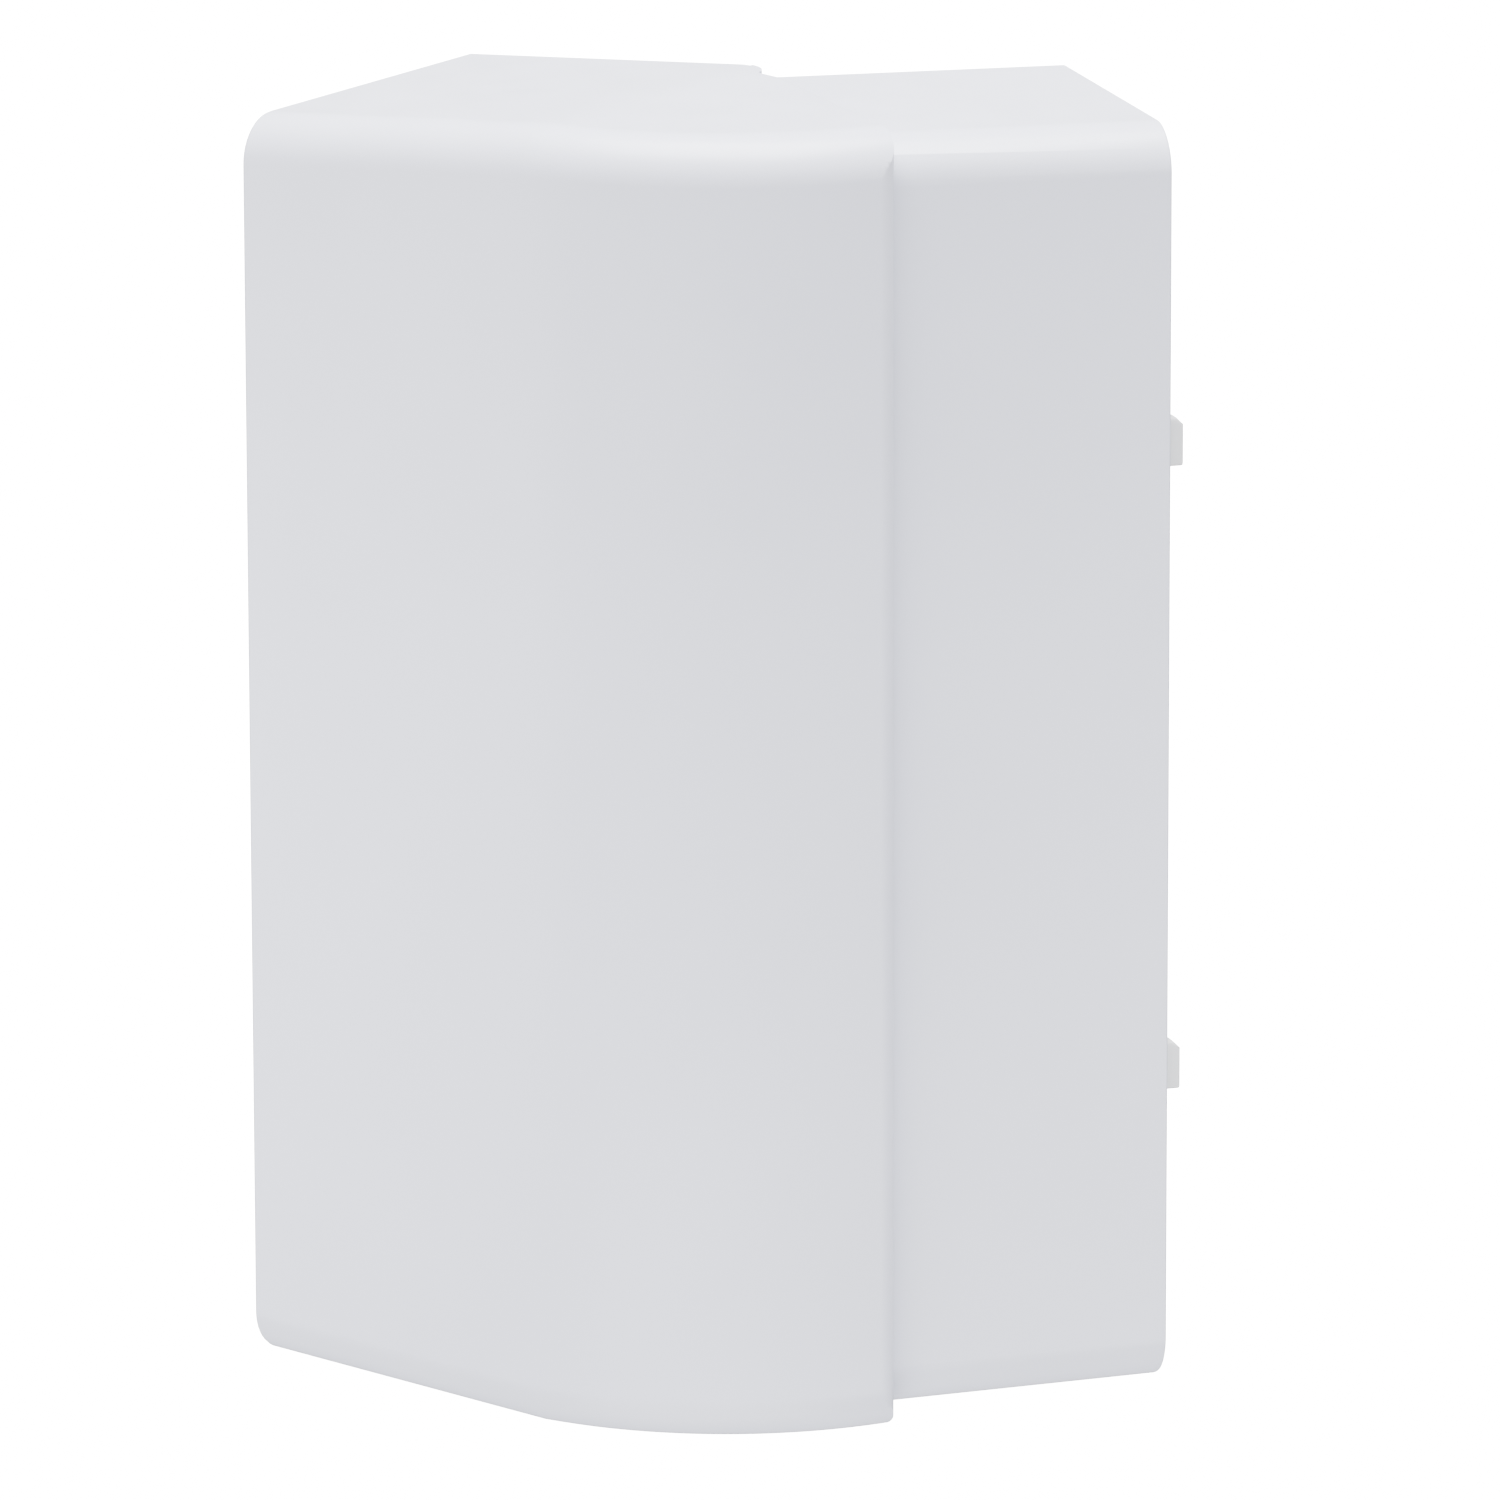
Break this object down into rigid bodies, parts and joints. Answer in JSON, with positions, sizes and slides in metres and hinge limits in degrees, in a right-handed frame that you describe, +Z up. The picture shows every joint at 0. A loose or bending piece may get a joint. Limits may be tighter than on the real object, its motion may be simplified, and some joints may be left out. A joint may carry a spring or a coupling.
{
  "type": "motion sensor",
  "caption": "Wall-mounted curtain motion sensor: a tall white housing whose head swivels on a vertical hinge in the valley behind it.",
  "frame": {"origin": "centre of the face of the back plate that rests on the wall", "axes": "+Y into the wall, +Z up, +X towards the broad side of the base; the head turns from -Y towards -X"},
  "size_m": [0.0536, 0.073, 0.11],
  "materials": {
    "casing": "white moulded ABS with a fine satin texture and soft edges",
    "door": "white moulded ABS with a fine satin texture, same as the casing",
    "plate": "white moulded plate, finely textured",
    "bezel": "white moulded ABS, satin",
    "lens": "milky polyethylene lens with fine moulded grooves inside",
    "foam": "black closed-cell foam",
    "inner": "light grey moulded carrier",
    "board": "green solder mask over glass fibre",
    "screw": "zinc plated steel",
    "pin": "ground steel",
    "washer": "natural acetal",
    "can": "nickel plated can",
    "filter": "dark coated silicon window",
    "black": "matt black moulding",
    "chip": "black moulded epoxy",
    "shield": "tinned steel",
    "gold": "gold plated wire",
    "capacitor": "dark blue sleeve",
    "led": "clear red epoxy",
    "pipe": "clear polycarbonate",
    "battery": "printed plastic sleeve on a steel can, no lettering",
    "contact": "nickel plated spring steel",
    "switch": "dark grey moulded switch body",
    "button": "red moulded button"
  },
  "bodies": {
    "base": {"base_housing": "casing", "back_plate": "plate", "lock_screw": "screw", "hinge_pins": "pin", "swivel_washers": "washer", "tamper_board": "board", "tamper_board_screws": "screw", "tamper_switch": "switch"},
    "plunger": {"tamper_plunger": "button"},
    "head": {"head_shell": "casing", "front_bezel": "bezel", "lens_gasket": "foam", "fresnel_lens": "lens", "lens_retainer": "inner", "chassis": "inner", "chassis_screws": "screw", "main_board": "board", "board_screws": "screw", "pyro_sensor": "can", "pyro_window": "filter", "curtain_hood": "black", "processor_chip": "chip", "radio_board": "board", "radio_shield": "shield", "antenna": "gold", "capacitors": "capacitor", "status_led": "led", "light_pipe": "pipe", "battery": "battery", "battery_positive_contact": "contact", "battery_negative_contact": "contact", "learn_switch": "switch"},
    "button": {"learn_button": "button"},
    "door": {"battery_door": "door"}
  },
  "joints": [
    {"name": "head_swivel", "type": "hinge", "parent": "base", "child": "head", "pos_m": [-0.0131, -0.03, 0], "axis": [0, 0, -1], "range_deg": [0, 35]},
    {"name": "battery_door_slide", "type": "slide", "parent": "head", "child": "door", "axis": [0, 0, -1], "range_m": [0, 0.05]},
    {"name": "learn_button_press", "type": "slide", "parent": "head", "child": "button", "axis": [0.6428, -0.766, 0], "range_m": [0, 0.0005], "stiffness_N_per_m": 400},
    {"name": "tamper_press", "type": "slide", "parent": "base", "child": "plunger", "axis": [0, -1, 0], "range_m": [0, 0.0012], "stiffness_N_per_m": 300}
  ]
}
